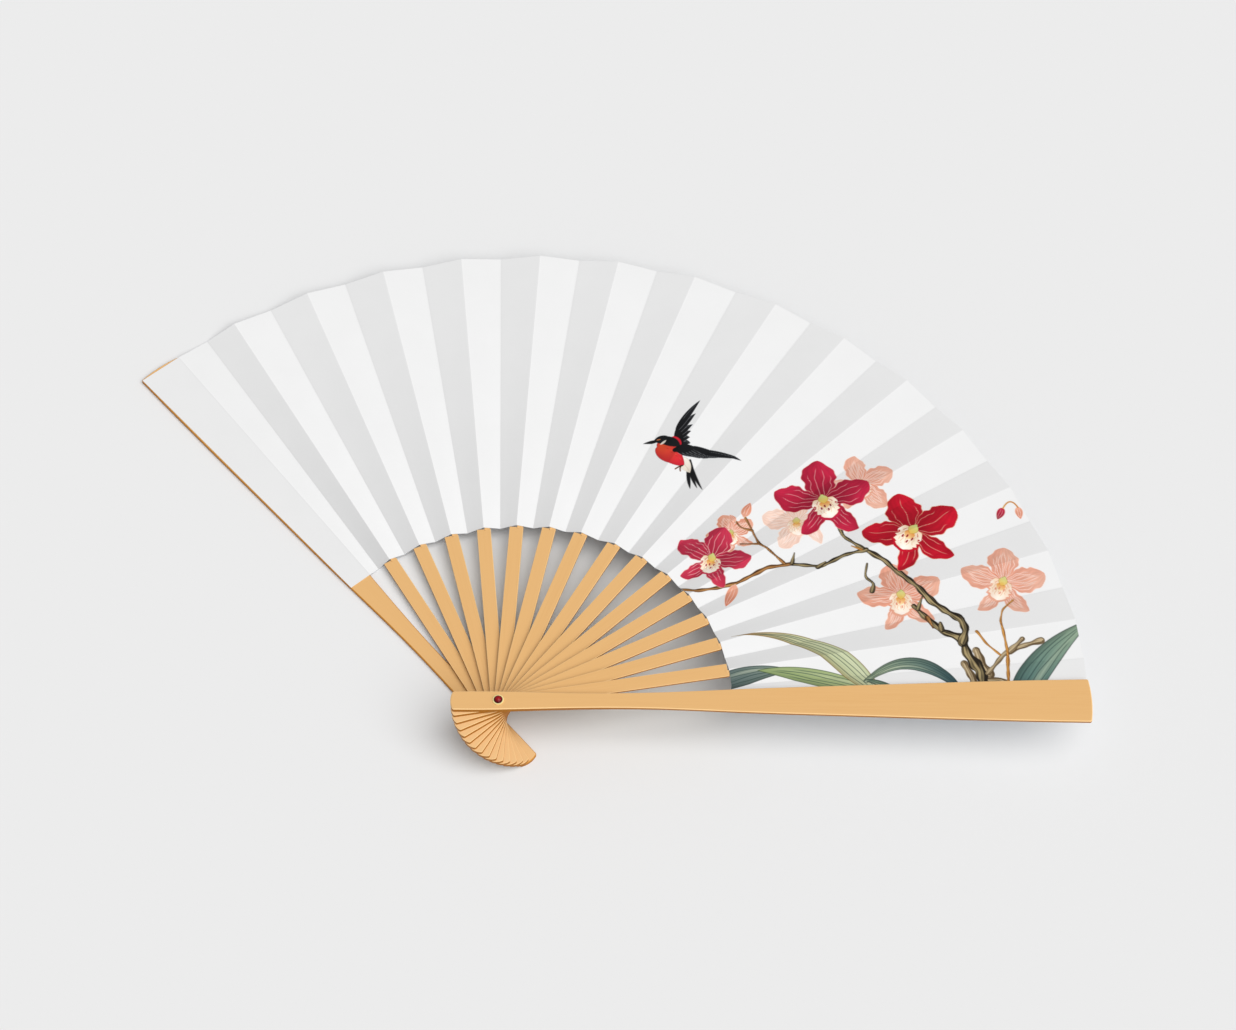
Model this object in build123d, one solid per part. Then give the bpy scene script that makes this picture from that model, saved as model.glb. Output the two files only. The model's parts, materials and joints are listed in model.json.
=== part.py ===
"""A folding hand fan lying open: bamboo guards and ribs on one rivet, and a pleated paper leaf.

The rivet's axis is the Z axis. The rear guard lies on the ground plane, z = 0, and every stick
above it lies one stack pitch higher and is turned towards the front guard, which points along +X.
The leaf has a mountain fold over each rib and a valley fold half way to the next stick.
Angles are measured about the rivet, anticlockwise from the front guard.
"""

from build123d import *
import math
import os

# Sticks: the rear guard is stick 0, the ribs are 1 to RIB_COUNT, the front guard is the last.
RIB_COUNT = 14
STACK_PITCH = 1.39
REAR_GUARD_ANGLE = 130.2
FOLD_PITCH = 8.5
WIDE_GAP_EXTRA = 0.9
WIDE_GAP_RIB = 8

# Guards, measured from the rivet along their own axis.
HEAD_END = -17.2
TIP_END = 212.3
GUARD_HEAD_HALF = 3.75
GUARD_WAIST_HALF = 3.0
GUARD_SHOULDER_HALF = 4.68
GUARD_TIP_HALF = 8.75
GUARD_WAIST_X = 42.0
GUARD_SHOULDER_X = 86.0
GUARD_HEAD_BULGE = 0.9
GUARD_TIP_BULGE = 0.75
REAR_GUARD_THICKNESS = 1.3
FRONT_GUARD_BLADE = 1.15
GUARD_BEVEL = 0.3

# Ribs: a flat stick up to the leaf, then a thin slip glued behind the leaf.
RIB_HALF = 2.6
RIB_HEAD_THICKNESS = 1.33
RIB_BLADE_THICKNESS = 0.85
RIB_BEVEL = 0.12
RIB_STICK_END = 83.4
SLIP_END = 206.0
SLIP_THICKNESS = 0.45
SLIP_EDGE = 0.3
SLIP_WIDTH_START = 2.1
SLIP_WIDTH_END = 1.5

# Leaf
LEAF_INNER_RADIUS = 83.9
LEAF_OUTER_RADIUS = 212.0
LEAF_END_SHRINK = 0.9
PAPER = 0.2
FOLD_RISE = 0.5
FOLD_DEPTH = 1.39
END_PANEL_MARGIN = 0.5
FRONT_STRIP_ANGLE = 0.85
FRONT_STRIP_WIDTH = 2.85

# Rivet: a pin through all sticks, a ring at each end and a domed cap in front.
PIN_RADIUS = 1.25
BORE_CLEARANCE = 0.05
RING_RADIUS = 2.0
RING_THICKNESS = 0.3
REAR_RING_RADIUS = 2.1
CAP_RADIUS = 1.58
CAP_SKIRT = 0.25
CAP_DOME = 0.95
PLAY = 0.05

FRONT_GUARD = RIB_COUNT + 1
BORE_RADIUS = PIN_RADIUS + BORE_CLEARANCE


def stick_angle(stick):
    """The direction of a stick: even fold pitches, with a wider gap at each guard and at one rib."""
    if stick == 0:
        return REAR_GUARD_ANGLE
    if stick == FRONT_GUARD:
        return 0.0
    wide_gaps = 1 if stick < WIDE_GAP_RIB else 2
    return REAR_GUARD_ANGLE - FOLD_PITCH * stick - WIDE_GAP_EXTRA * wide_gaps


def stick_top(stick):
    """The height of a stick's top face."""
    return REAR_GUARD_THICKNESS + STACK_PITCH * stick


def mountain_level(rib):
    """The height of the mountain fold over a rib."""
    return stick_top(rib) + FOLD_RISE


def valley_angle(stick):
    """The direction of the valley fold between a stick and the next one."""
    if stick == 0:
        return stick_angle(1) + (stick_angle(0) - stick_angle(1)) * 0.36
    if stick == RIB_COUNT:
        return stick_angle(stick) - FOLD_PITCH / 2
    return (stick_angle(stick) + stick_angle(stick + 1)) / 2


def valley_level(stick):
    """The height of the valley fold between a stick and the next one."""
    return mountain_level(stick) - FOLD_DEPTH


def at_angle(radius, angle, height):
    """A point at a distance from the rivet's axis, in a direction and at a height."""
    turn = math.radians(angle)
    return (radius * math.cos(turn), radius * math.sin(turn), height)


def face_through(points):
    """A flat face whose corners are the given points."""
    return make_face(Polyline(*points, close=True))


def side_profile(outline, width):
    """A solid from an outline given as (x, z) points, as wide as asked each side of the axis."""
    face = face_through([(x, -width, z) for x, z in outline])
    return extrude(face, amount=2 * width, dir=(0, 1, 0))


def plan_column(face, low, high):
    """A plan face drawn at z = 0, as an upright column from one height to another."""
    return extrude(Pos(0, 0, low) * face, amount=high - low, dir=(0, 0, 1))


def bevelled(solid, height, size):
    """The solid with its edges at one height chamfered."""
    top = solid.faces().sort_by(Axis.Z)[-1]
    edges = top.outer_wire().edges()
    if abs(top.center().Z - height) > 0.01:
        raise ValueError("the top face isn't where the bevel goes")
    return chamfer(edges, size)


def bore():
    """The column that a stick's bore takes out."""
    return extrude(Circle(BORE_RADIUS), amount=60, both=True)


# Guards

def guard_plan():
    """A guard seen from above: a rounded head, a narrow waist and a blade that widens to the tip."""
    head_corner = HEAD_END + GUARD_HEAD_BULGE
    tip_corner = TIP_END - GUARD_TIP_BULGE
    side = [
        (head_corner, GUARD_HEAD_HALF),
        (2.0, GUARD_HEAD_HALF - 0.06),
        (21.0, 3.2),
        (GUARD_WAIST_X, GUARD_WAIST_HALF),
        (62.0, 3.5),
        (GUARD_SHOULDER_X, GUARD_SHOULDER_HALF),
        (128.0, 6.24),
        (170.0, 7.74),
        (tip_corner, GUARD_TIP_HALF),
    ]
    upper = Spline(*side)
    tip = ThreePointArc(side[-1], (TIP_END, 0), (tip_corner, -GUARD_TIP_HALF))
    lower = Spline(*[(x, -y) for x, y in reversed(side)])
    head = ThreePointArc((head_corner, -GUARD_HEAD_HALF), (HEAD_END, 0), side[0])
    face = make_face([upper, tip, lower, head])
    corners = face.vertices().sort_by(Axis.X)
    face = fillet(corners[-2:], 0.8)
    return fillet(face.vertices().sort_by(Axis.X)[:2], 1.0)


def rear_guard():
    """The guard that lies on the ground, with a counterbore underneath for the rivet's rear end."""
    body = plan_column(guard_plan(), 0, REAR_GUARD_THICKNESS)
    body = bevelled(body, REAR_GUARD_THICKNESS, GUARD_BEVEL)
    counterbore = Cylinder(
        REAR_RING_RADIUS + PLAY,
        2 * RING_THICKNESS,
        align=(Align.CENTER, Align.CENTER, Align.MIN),
    )
    return Rot(0, 0, REAR_GUARD_ANGLE) * (body - bore() - counterbore)


def front_guard():
    """The guard on top, thick at its head and thinner over the leaf."""
    top = stick_top(RIB_COUNT) + FOLD_RISE + FOLD_DEPTH
    head_low = stick_top(RIB_COUNT) + PLAY
    blade_low = top - FRONT_GUARD_BLADE
    outline = [
        (HEAD_END - 1, head_low),
        (12, head_low),
        (60, blade_low),
        (TIP_END + 1, blade_low),
        (TIP_END + 1, top),
        (HEAD_END - 1, top),
    ]
    body = plan_column(guard_plan(), head_low - 1, top)
    body = bevelled(body, top, GUARD_BEVEL)
    return body & side_profile(outline, GUARD_TIP_HALF + 1) - bore()


# Ribs

def rib_plan():
    """A rib's flat stick seen from above: straight sides, and a shallow arc with rounded corners."""
    corner = HEAD_END + 0.8
    lines = [
        Line((corner, RIB_HALF), (RIB_STICK_END, RIB_HALF)),
        Line((RIB_STICK_END, RIB_HALF), (RIB_STICK_END, -RIB_HALF)),
        Line((RIB_STICK_END, -RIB_HALF), (corner, -RIB_HALF)),
        ThreePointArc((corner, -RIB_HALF), (HEAD_END, 0), (corner, RIB_HALF)),
    ]
    face = make_face(lines)
    return fillet(face.vertices().sort_by(Axis.X)[:2], 0.7)


def slip_section(distance, width, level):
    """The slip's cross-section: a strip that lies under the leaf's falling panel."""
    half_fold = distance * math.sin(math.radians(FOLD_PITCH / 2))
    corners = []
    for side, drop in [(SLIP_EDGE, 0), (SLIP_EDGE + width, 0), (SLIP_EDGE + width, 1), (SLIP_EDGE, 1)]:
        panel = level - PAPER - PLAY - FOLD_DEPTH * side / half_fold
        corners.append((distance, -side, panel - drop * SLIP_THICKNESS))
    return face_through(corners)


def rib(number):
    """One rib along +X at its own height, then turned to its direction."""
    top = stick_top(number)
    low = top - RIB_HEAD_THICKNESS
    blade_low = top - RIB_BLADE_THICKNESS
    outline = [
        (HEAD_END - 1, low),
        (8, low),
        (42, blade_low),
        (RIB_STICK_END + 1, blade_low),
        (RIB_STICK_END + 1, top),
        (HEAD_END - 1, top),
    ]
    stick = bevelled(plan_column(rib_plan(), low - 1, top), top, RIB_BEVEL)
    stick = stick & side_profile(outline, RIB_HALF + 1)
    level = mountain_level(number)
    sections = [
        slip_section(RIB_STICK_END - 0.6, SLIP_WIDTH_START, level),
        slip_section(SLIP_END, SLIP_WIDTH_END, level),
    ]
    slip = loft(sections, ruled=True)
    return Rot(0, 0, stick_angle(number)) * (stick + slip - bore())


# Leaf

def fold_section(angle, height, inner=LEAF_INNER_RADIUS, outer=LEAF_OUTER_RADIUS):
    """The paper cut through upright along a radial fold line."""
    return face_through(
        [
            at_angle(inner, angle, height),
            at_angle(outer, angle, height),
            at_angle(outer, angle, height - PAPER),
            at_angle(inner, angle, height - PAPER),
        ]
    )


def guard_edge_section(guard_angle, inner_side, outer_side, height):
    """The paper cut through upright along a line beside a guard, given by its sideways distances."""
    inner = LEAF_INNER_RADIUS - LEAF_END_SHRINK
    outer = LEAF_OUTER_RADIUS - LEAF_END_SHRINK
    near = Rot(0, 0, guard_angle) * Pos(inner, inner_side, height)
    far = Rot(0, 0, guard_angle) * Pos(outer, outer_side, height)
    a = near.position
    b = far.position
    down = Vector(0, 0, PAPER)
    return face_through([a, b, b - down, a - down])


def pleat(number):
    """One pleat over a rib: up from the valley before it to its mountain fold and down again."""
    sections = [
        fold_section(valley_angle(number - 1), valley_level(number - 1)),
        fold_section(stick_angle(number), mountain_level(number)),
        fold_section(valley_angle(number), valley_level(number)),
    ]
    return loft(sections, ruled=True)


def leaf_rear_end():
    """The leaf's first panel, glued on the rear guard, and the panel from its edge to a valley."""
    glued = REAR_GUARD_THICKNESS + PAPER
    inner_side = GUARD_SHOULDER_HALF - 0.1
    outer_side = GUARD_TIP_HALF + 0.2
    sections = [
        guard_edge_section(
            REAR_GUARD_ANGLE, inner_side - END_PANEL_MARGIN, outer_side - 2 * END_PANEL_MARGIN, glued
        ),
        guard_edge_section(REAR_GUARD_ANGLE, -inner_side, -outer_side, glued),
        fold_section(valley_angle(0), valley_level(0)),
    ]
    return loft(sections, ruled=True)


def leaf_front_end():
    """The leaf's last panel, from a valley up to the front guard, and its strip glued underneath."""
    glued = stick_top(RIB_COUNT) + FOLD_RISE + FOLD_DEPTH - FRONT_GUARD_BLADE
    inner = LEAF_INNER_RADIUS - LEAF_END_SHRINK
    outer = LEAF_OUTER_RADIUS - LEAF_END_SHRINK
    far_side = outer / inner * FRONT_STRIP_WIDTH
    sections = [
        fold_section(valley_angle(RIB_COUNT), valley_level(RIB_COUNT)),
        fold_section(FRONT_STRIP_ANGLE, glued, inner, outer),
        guard_edge_section(0, -FRONT_STRIP_WIDTH, -far_side, glued),
    ]
    return loft(sections, ruled=True)


# Rivet

def ring(outer_radius, low):
    """A flat ring round the pin."""
    disc = Pos(0, 0, low) * Cylinder(
        outer_radius, RING_THICKNESS, align=(Align.CENTER, Align.CENTER, Align.MIN)
    )
    return disc - Cylinder(PIN_RADIUS, 100)


def rivet_pin(cap_seat):
    """The pin, with its flat rear head flush with the rear guard's underside."""
    head = Cylinder(REAR_RING_RADIUS, RING_THICKNESS, align=(Align.CENTER, Align.CENTER, Align.MIN))
    shank = Cylinder(PIN_RADIUS, cap_seat, align=(Align.CENTER, Align.CENTER, Align.MIN))
    return head + shank


def rivet_cap(low):
    """The domed cap: a short upright skirt under a part of a sphere."""
    height = CAP_SKIRT + CAP_DOME
    column = Cylinder(CAP_RADIUS, height, align=(Align.CENTER, Align.CENTER, Align.MIN))
    dome_radius = (CAP_RADIUS**2 + CAP_DOME**2) / (2 * CAP_DOME)
    ball = Pos(0, 0, height - dome_radius) * Sphere(dome_radius)
    return Pos(0, 0, low) * (column & ball)


def main():
    os.makedirs("parts", exist_ok=True)
    front_top = stick_top(RIB_COUNT) + FOLD_RISE + FOLD_DEPTH
    ring_low = front_top + PLAY
    cap_low = ring_low + RING_THICKNESS
    shapes = {
        "rear_guard": rear_guard(),
        "front_guard": front_guard(),
        "leaf_rear_end": leaf_rear_end(),
        "leaf_front_end": leaf_front_end(),
        "rivet_pin": rivet_pin(cap_low),
        "rivet_ring_rear": ring(REAR_RING_RADIUS, RING_THICKNESS),
        "rivet_ring_front": ring(RING_RADIUS, ring_low),
        "rivet_cap": rivet_cap(cap_low),
    }
    for number in range(1, RIB_COUNT + 1):
        shapes[f"rib_{number:02d}"] = rib(number)
        shapes[f"leaf_pleat_{number:02d}"] = pleat(number)
    for name, shape in shapes.items():
        export_step(shape, f"parts/{name}.step")
    for stick in range(FRONT_GUARD + 1):
        print(f"stick {stick}: {stick_angle(stick):.2f} degrees, top {stick_top(stick):.2f}")


main()
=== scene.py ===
# %% [markdown]
# # A folding hand fan lying open
#
# The real object is a stack of thin bamboo sticks that turn on one rivet, with a sheet of pleated
# paper glued to them. The imported model already holds the sticks, the rivet and the joints, so this
# lesson adds what makes them look real: bamboo grain, a pleated paper leaf, and a painted branch with
# flowers and a bird.

import json
import math

import bpy
import numpy as np
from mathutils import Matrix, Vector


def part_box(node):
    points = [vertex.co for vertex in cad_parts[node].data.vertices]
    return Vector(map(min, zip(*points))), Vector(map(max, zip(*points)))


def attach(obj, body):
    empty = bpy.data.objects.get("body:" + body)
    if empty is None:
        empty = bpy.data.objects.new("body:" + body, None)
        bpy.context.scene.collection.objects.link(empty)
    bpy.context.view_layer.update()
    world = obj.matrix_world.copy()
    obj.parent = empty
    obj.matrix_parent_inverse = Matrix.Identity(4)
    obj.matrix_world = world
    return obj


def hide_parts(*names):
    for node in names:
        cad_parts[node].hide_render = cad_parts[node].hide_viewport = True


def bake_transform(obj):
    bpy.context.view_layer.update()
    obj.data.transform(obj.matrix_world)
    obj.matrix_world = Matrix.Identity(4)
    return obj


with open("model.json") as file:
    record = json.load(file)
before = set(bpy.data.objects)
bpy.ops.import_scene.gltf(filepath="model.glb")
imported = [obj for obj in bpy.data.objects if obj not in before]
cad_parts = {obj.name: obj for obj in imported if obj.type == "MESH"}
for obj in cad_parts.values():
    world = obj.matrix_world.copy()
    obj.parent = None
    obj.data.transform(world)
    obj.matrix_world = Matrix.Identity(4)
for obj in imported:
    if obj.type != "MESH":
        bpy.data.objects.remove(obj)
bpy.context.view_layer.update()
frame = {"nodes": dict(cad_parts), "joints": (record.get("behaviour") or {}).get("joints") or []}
MM = 0.001

# %% [markdown]
# ## The camera
#
# The fan is seen from above its near side, from far away with a long lens, so that the sticks keep
# their true proportions. The camera stands on a sphere round the point it looks at: the elevation
# says how high on that sphere, and the view runs along +Y.

# %% Place the camera
VIEW_TARGET = np.array([42.8, 86.4, 11.5]) * MM
VIEW_ELEVATION = math.radians(56.73)
VIEW_DISTANCE = 1175.6 * MM
LENS = 91.19
CLIP_END = 20.0

camera_data = bpy.data.cameras.new("camera")
camera_data.lens = LENS
camera_data.clip_end = CLIP_END
camera = bpy.data.objects.new("camera", camera_data)
camera.location = VIEW_TARGET + VIEW_DISTANCE * np.array(
    [0, -math.cos(VIEW_ELEVATION), math.sin(VIEW_ELEVATION)]
)
camera.rotation_euler = (math.pi / 2 - VIEW_ELEVATION, 0, 0)
bpy.context.scene.collection.objects.link(camera)
bpy.context.scene.camera = camera
print("camera height in mm:", round(camera.location.z / MM))

# %% [markdown]
# ## The light
#
# One broad, distant lamp stands to the right of the camera and an even sky fills the rest. The lamp
# is as wide as a soft box close by, so the shadow under the raised front guard fades out gently. The
# lamp's and the sky's strength are shares of what lights a level surface, so that turning one up
# turns the other down.

# %% Sky and lamp
LEVEL_LIGHT = 1.05
SKY_LIGHT = 0.32
LAMP_FROM_ZENITH = math.radians(33)
LAMP_AZIMUTH = math.radians(-38)
LAMP_WIDTH = math.radians(66)

world = bpy.data.worlds.new("sky")
world.use_nodes = True
world.node_tree.nodes["Background"].inputs["Color"].default_value = (1, 1, 1, 1)
world.node_tree.nodes["Background"].inputs["Strength"].default_value = SKY_LIGHT
bpy.context.scene.world = world

lamp_data = bpy.data.lights.new("lamp", "SUN")
lamp_data.energy = (LEVEL_LIGHT - SKY_LIGHT) * math.pi / math.cos(LAMP_FROM_ZENITH)
lamp_data.angle = LAMP_WIDTH
lamp = bpy.data.objects.new("lamp", lamp_data)
lamp.rotation_euler = (0, LAMP_FROM_ZENITH, LAMP_AZIMUTH)
bpy.context.scene.collection.objects.link(lamp)
bpy.context.scene.view_settings.view_transform = "Standard"
bpy.context.scene.view_settings.look = "None"
print("lamp strength:", round(lamp_data.energy, 2))

# %% [markdown]
# ## Colours and node helpers
#
# Painters and web pages give colours as sRGB hex values, but a renderer adds up light, which needs
# linear values. One function does the turn. Another adds a shader node with its settings and links,
# so that each material below reads as a short recipe.

# %% Helpers for colours and nodes
def srgb(code):
    """A hex colour as three numbers from 0 to 1, still in sRGB."""
    return np.array([int(code[k : k + 2], 16) for k in (1, 3, 5)]) / 255


def to_linear(value):
    """sRGB to linear light: a straight toe below 0.04045, and a power of 2.4 above it."""
    value = np.asarray(value, float)
    return np.where(value <= 0.04045, value / 12.92, ((value + 0.055) / 1.055) ** 2.4)


def paint(code):
    """A hex colour as the linear RGBA that a shader socket takes."""
    return (*to_linear(srgb(code)), 1.0)


def new_material(name):
    """An empty material with its output node: returns (material, tree, output)."""
    material = bpy.data.materials.new(name)
    material.use_nodes = True
    tree = material.node_tree
    tree.nodes.clear()
    return material, tree, tree.nodes.new("ShaderNodeOutputMaterial")


def add(tree, kind, inputs=None, **settings):
    """Adds one node. inputs maps a socket to a value, or to another node's output to link."""
    made = tree.nodes.new("ShaderNode" + kind)
    for name, value in settings.items():
        setattr(made, name, value)
    for name, value in (inputs or {}).items():
        if isinstance(value, bpy.types.NodeSocket):
            tree.links.new(value, made.inputs[name])
        else:
            made.inputs[name].default_value = value
    return made


def between(tree, share, first, second):
    """A Mix node's colour: first where share is 0 and second where it is 1."""
    return add(tree, "Mix", {0: share, 6: first, 7: second}, data_type="RGBA").outputs[2]


print("half of full sRGB is this much linear light:", round(float(to_linear(0.5)), 3))

# %% [markdown]
# ## Bamboo
#
# Moso bamboo is split, planed and lightly varnished. Its fibres run straight along the stick, so the
# grain is noise stretched forty times longer than it is wide. The bevels carry a painted highlight,
# and on the ribs so does a narrow band along each long edge; the rear guard's bevel carries painted
# shade instead. The sides carry painted shade, and the inner side of the cane, which lies underneath,
# is greyer. The surface normal tells these apart: it points up on the face, slants on the bevel, lies
# flat on the sides and points down underneath. The heads of all but the front guard are painted paler,
# as painted light against the shade and orange bounce between the stacked heads.

# %% Make the bamboo
BAMBOO_FACE = "#E4B476"
BAMBOO_DEEP = "#D9A361"
# Painted highlight on the bevels and on the ribs' edge bands.
BAMBOO_HIGHLIGHT = "#F6CC90"
# Painted shade on the rear guard's bevel.
BAMBOO_REAR_EDGE_SHADE = "#CC8A2C"
# Painted shade on the sticks' sides.
BAMBOO_SIDE_SHADE = "#AA6A12"
BAMBOO_INNER = "#CFBEA2"
# Painted light that makes the heads paler.
BAMBOO_HEAD_LIGHT = "#F3CB95"
RIB_HIGHLIGHT_FROM = 2.28 * MM
RIB_HALF = 2.6 * MM
HEAD_START = -2.0 * MM
HEAD_FULLY_LIT = -7.0 * MM
HEAD_LIGHTENING = 0.5
FIBRE_LENGTH = 28.0 * MM
FIBRE_WIDTH = 0.7 * MM
CLOUD_LENGTH = 90.0 * MM
CLOUD_WIDTH = 9.0 * MM


def stretched(tree, source, turn, length, width, shift):
    """Object coordinates turned along the stick and divided by the pattern's own cell size."""
    return add(
        tree, "Mapping",
        {"Vector": source, "Rotation": (0, 0, turn), "Scale": (length, width, width),
         "Location": (shift, 0, 0)},
        vector_type="TEXTURE",
    ).outputs["Vector"]


def bamboo(name, turn, shift, head_lightening=0.0, edge=None, painted_edge_colour=BAMBOO_HIGHLIGHT):
    """Bamboo whose fibres run in the direction turn, in radians; shift moves the grain along.

    head_lightening is how much paler the head is painted, from 0 to 1, as painted light. edge is the
    distance from the stick's middle line at which a band of painted highlight starts, if it has one
    beside the bevel, and painted_edge_colour is the colour painted on that band and on the bevel: a
    painted highlight, or painted shade on the rear guard.
    """
    material, tree, output = new_material(name)
    coordinates = add(tree, "TexCoord")
    place = coordinates.outputs["Object"]
    fibre = add(
        tree,
        "TexNoise",
        {"Vector": stretched(tree, place, turn, FIBRE_LENGTH, FIBRE_WIDTH, shift), "Scale": 1.0,
         "Detail": 4.0, "Roughness": 0.65},
    )
    cloud = add(
        tree,
        "TexNoise",
        {"Vector": stretched(tree, place, turn, CLOUD_LENGTH, CLOUD_WIDTH, shift), "Scale": 1.0,
         "Detail": 2.0},
    )
    fibre_share = add(
        tree, "MapRange",
        {"Value": fibre.outputs["Fac"], "From Min": 0.38, "From Max": 0.72, "To Max": 0.75},
    )
    cloud_share = add(
        tree, "MapRange",
        {"Value": cloud.outputs["Fac"], "From Min": 0.35, "From Max": 0.7, "To Max": 0.55},
    )
    share = add(tree, "Math", {0: fibre_share.outputs[0], 1: cloud_share.outputs[0]}, operation="MULTIPLY")
    planed = between(tree, share.outputs[0], paint(BAMBOO_FACE), paint(BAMBOO_DEEP))
    on_stick = add(tree, "SeparateXYZ", {0: stretched(tree, place, turn, 1, 1, 0)})
    # Painted light: the head is painted paler towards its end.
    head = add(
        tree, "MapRange",
        {"Value": on_stick.outputs["X"], "From Min": HEAD_START, "From Max": HEAD_FULLY_LIT,
         "To Max": head_lightening},
    )
    head_lit = between(tree, head.outputs[0], planed, paint(BAMBOO_HEAD_LIGHT))
    split = add(tree, "SeparateXYZ", {0: coordinates.outputs["Normal"]})
    steep = add(tree, "Math", {0: split.outputs["Z"]}, operation="ABSOLUTE")
    # Painted highlight on the bevel, chosen by the normal; the rear guard gets painted shade there.
    bevel = add(tree, "MapRange", {"Value": steep.outputs[0], "From Min": 0.97, "From Max": 0.85})
    # Painted shade on the sides, chosen by the normal.
    side = add(tree, "MapRange", {"Value": steep.outputs[0], "From Min": 0.55, "From Max": 0.35})
    under = add(tree, "MapRange", {"Value": split.outputs["Z"], "From Min": -0.6, "From Max": -0.8})
    painted_edge_mask = bevel.outputs[0]
    # A band of painted highlight along both long edges of a rib.
    if edge:
        across = add(tree, "Math", {0: on_stick.outputs["Y"]}, operation="ABSOLUTE")
        band = add(tree, "MapRange", {"Value": across.outputs[0], "From Min": edge, "From Max": RIB_HALF})
        painted_edge_mask = add(tree, "Math", {0: painted_edge_mask, 1: band.outputs[0]}, operation="MAXIMUM").outputs[0]
    edged = between(tree, painted_edge_mask, head_lit, paint(painted_edge_colour))
    side_shaded = between(tree, side.outputs[0], edged, paint(BAMBOO_SIDE_SHADE))
    bamboo_colour = between(tree, under.outputs[0], side_shaded, paint(BAMBOO_INNER))
    shine = add(
        tree, "MapRange",
        {"Value": fibre.outputs["Fac"], "From Min": 0.3, "From Max": 0.7, "To Min": 0.42, "To Max": 0.58},
    )
    relief = add(tree, "Bump", {"Height": fibre.outputs["Fac"], "Strength": 0.35, "Distance": 0.03 * MM})
    surface = add(
        tree, "BsdfPrincipled",
        {"Base Color": bamboo_colour, "Roughness": shine.outputs[0], "Normal": relief.outputs[0],
         "IOR": 1.5, "Specular IOR Level": 0.35},
    )
    tree.links.new(surface.outputs[0], output.inputs["Surface"])
    return material


print("bamboo grain in mm:", round(FIBRE_LENGTH / MM, 1), "long,", round(FIBRE_WIDTH / MM, 1), "wide")

# %% [markdown]
# ## Where the sticks and folds are
#
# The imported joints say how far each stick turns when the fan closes, and all sticks close to one
# line. So a stick's direction now is that line minus its travel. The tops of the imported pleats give
# the height of each mountain fold. A valley fold lies half way between two sticks, except for the
# first and the last, because the leaf's ends are glued to the guards and fold unevenly.

# %% Read the sticks' directions and the folds' heights
joints = {joint["name"]: joint for joint in frame["joints"]}
ribs = sorted(name for name in frame["nodes"] if name.startswith("rib_"))
RIB_COUNT = len(ribs)
LAST = RIB_COUNT + 1
CLOSED_OFFSET = 2.1
FIRST_VALLEY_SHARE = 0.36
LAST_VALLEY_ANGLE = 4.25

rear_angle = joints["front_guard_turn"]["range_deg"][1]
closed_angle = rear_angle + CLOSED_OFFSET
travel = [0.0] + [joints[f"{rib}_turn"]["range_deg"][1] for rib in ribs] + [rear_angle]
stick_angle = [rear_angle] + [closed_angle - travel[k] for k in range(1, LAST)] + [0.0]

mountain = [0.0] + [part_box(f"leaf_pleat_{k:02d}")[1].z for k in range(1, LAST)]
fold_pitch = mountain[2] - mountain[1]
paper_under_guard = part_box("leaf_front_end")[1].z
paper_on_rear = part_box("leaf_rear_end")[1].z
mountain[0] = paper_on_rear
valley = [mountain[1] - 2 * fold_pitch] + [mountain[k] - fold_pitch for k in range(1, LAST)]

valley_angle = [(stick_angle[k] + stick_angle[k + 1]) / 2 for k in range(LAST)]
valley_angle[0] = stick_angle[1] + (stick_angle[0] - stick_angle[1]) * FIRST_VALLEY_SHARE
valley_angle[RIB_COUNT] = stick_angle[RIB_COUNT] - LAST_VALLEY_ANGLE


def corner_radii(node):
    """The smallest and largest distance of a node's corners from the rivet."""
    mesh = frame["nodes"][node].data
    spots = np.zeros(len(mesh.vertices) * 3)
    mesh.vertices.foreach_get("co", spots)
    spots = spots.reshape(-1, 3)
    away = np.hypot(spots[:, 0], spots[:, 1])
    return away.min(), away.max()


inner_radius, outer_radius = corner_radii("leaf_pleat_07")
print("sticks:", RIB_COUNT + 2, "leaf radii in mm:", round(inner_radius / MM, 1), round(outer_radius / MM, 1))

# %% [markdown]
# No two sticks are cut from the same place, so each gets its own material: the grain runs along the
# stick and starts somewhere else in the noise. One material on Object coordinates for all of them
# would show one pattern that runs straight across the fan.

# %% Give each stick its own bamboo
def dress(node, material):
    """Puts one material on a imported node."""
    slots = frame["nodes"][node].data.materials
    slots.clear()
    slots.append(material)


GRAIN_SHIFT = 61.0 * MM
rear_turn = math.radians(rear_angle)
# The rear guard's bevel carries painted shade instead of a highlight.
dress("rear_guard", bamboo("bamboo rear guard", rear_turn, 0.0, HEAD_LIGHTENING, None, BAMBOO_REAR_EDGE_SHADE))
dress("front_guard", bamboo("bamboo front guard", 0.0, GRAIN_SHIFT))
for number, rib in enumerate(ribs, 1):
    turn = math.radians(stick_angle[number])
    dress(rib, bamboo(f"bamboo {rib}", turn, GRAIN_SHIFT * (number + 1), HEAD_LIGHTENING, RIB_HIGHLIGHT_FROM))
print("bamboo on", RIB_COUNT + 2, "sticks")

# %% [markdown]
# ## The painting
#
# The picture is worked out, not loaded. Almost everything a brush leaves is a ribbon: a line with a
# width that swells and tapers. A petal, a leaf blade, a twig and a feather are all ribbons with
# other widths and colours. For every point of the paper, the nearest place on the ribbon's line
# gives a share along it and a distance across it, and those two numbers pick the colour.
# All places in the painting are millimetres from the rivet, seen from above.

# %% Brush tools
EDGE_BLUR = 0.24
THIN_VEIN = 0.08
VEIN_WANDER = 0.05


class Sheet:
    """Points of paper in millimetres, with an sRGB colour for each and how much paint is on it."""

    def __init__(self, spots, colour):
        self.spots = spots
        self.colour = np.tile(np.asarray(colour, float), (len(spots), 1))
        self.painted = np.zeros(len(spots))


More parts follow.
